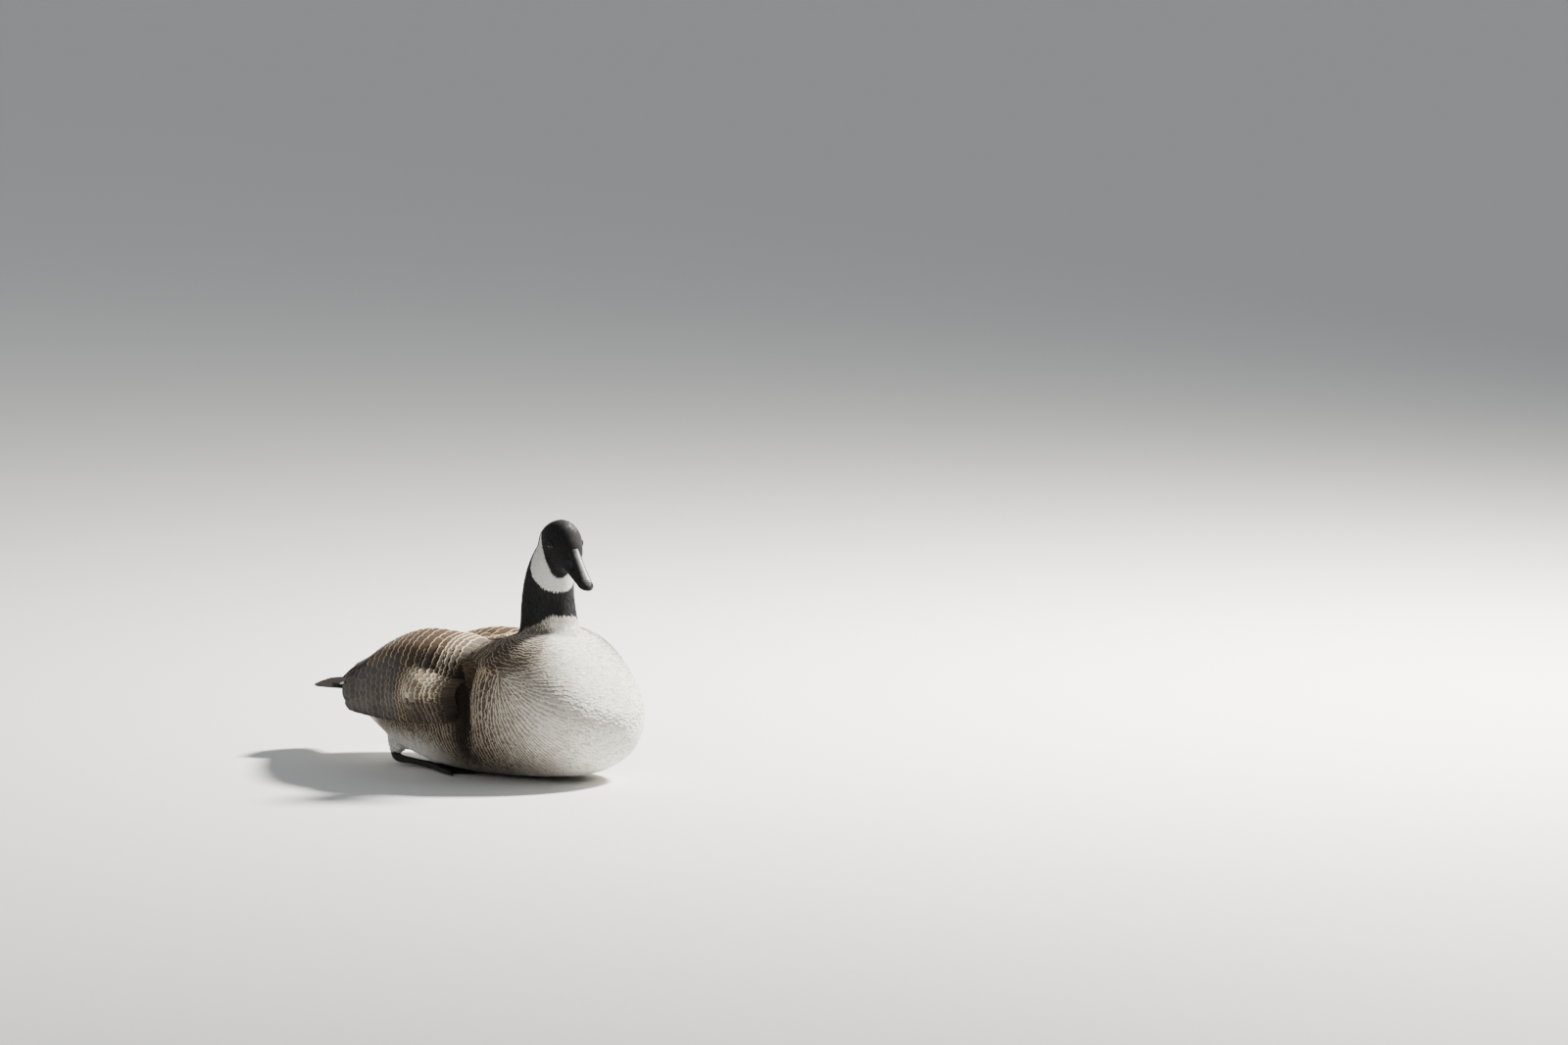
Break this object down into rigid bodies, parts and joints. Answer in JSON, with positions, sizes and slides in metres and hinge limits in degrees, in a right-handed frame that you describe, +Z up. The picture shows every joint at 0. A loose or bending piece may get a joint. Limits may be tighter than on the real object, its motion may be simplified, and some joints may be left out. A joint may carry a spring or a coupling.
{
  "type": "canada goose",
  "caption": "Life-size still model of a goose afloat: rounded body resting on its belly, short upright neck, head turned, loosely held wings.",
  "frame": {"origin": "middle of the bounding box, on the floor that the belly rests on", "axes": "+Z up, -Y the way the breast faces, so +Y is along the body towards the tail and -X is the bird's right"},
  "size_m": [0.331, 0.564, 0.3583],
  "materials": {
    "body_plumage": "soft pale grey-brown feathers, buff-white breast, white vent",
    "black_plumage": "short velvety black feathers with a white cheek and chin patch",
    "bill_horn": "smooth black horn with a soft shine",
    "eye": "wet dark brown eye",
    "wing_plumage": "brown feathers with pale buff edges",
    "tail_plumage": "blackish-brown tail feathers",
    "leg_skin": "dark scaly skin and webs"
  },
  "bodies": {
    "root": {"torso": "body_plumage", "neck": "black_plumage", "head": "black_plumage", "bill_upper": "bill_horn", "bill_lower": "bill_horn", "eye_right": "eye", "eye_left": "eye", "wing_right": "wing_plumage", "wing_left": "wing_plumage", "tail": "tail_plumage", "leg_right": "leg_skin", "leg_left": "leg_skin", "foot_right": "leg_skin", "foot_left": "leg_skin"}
  },
  "joints": []
}
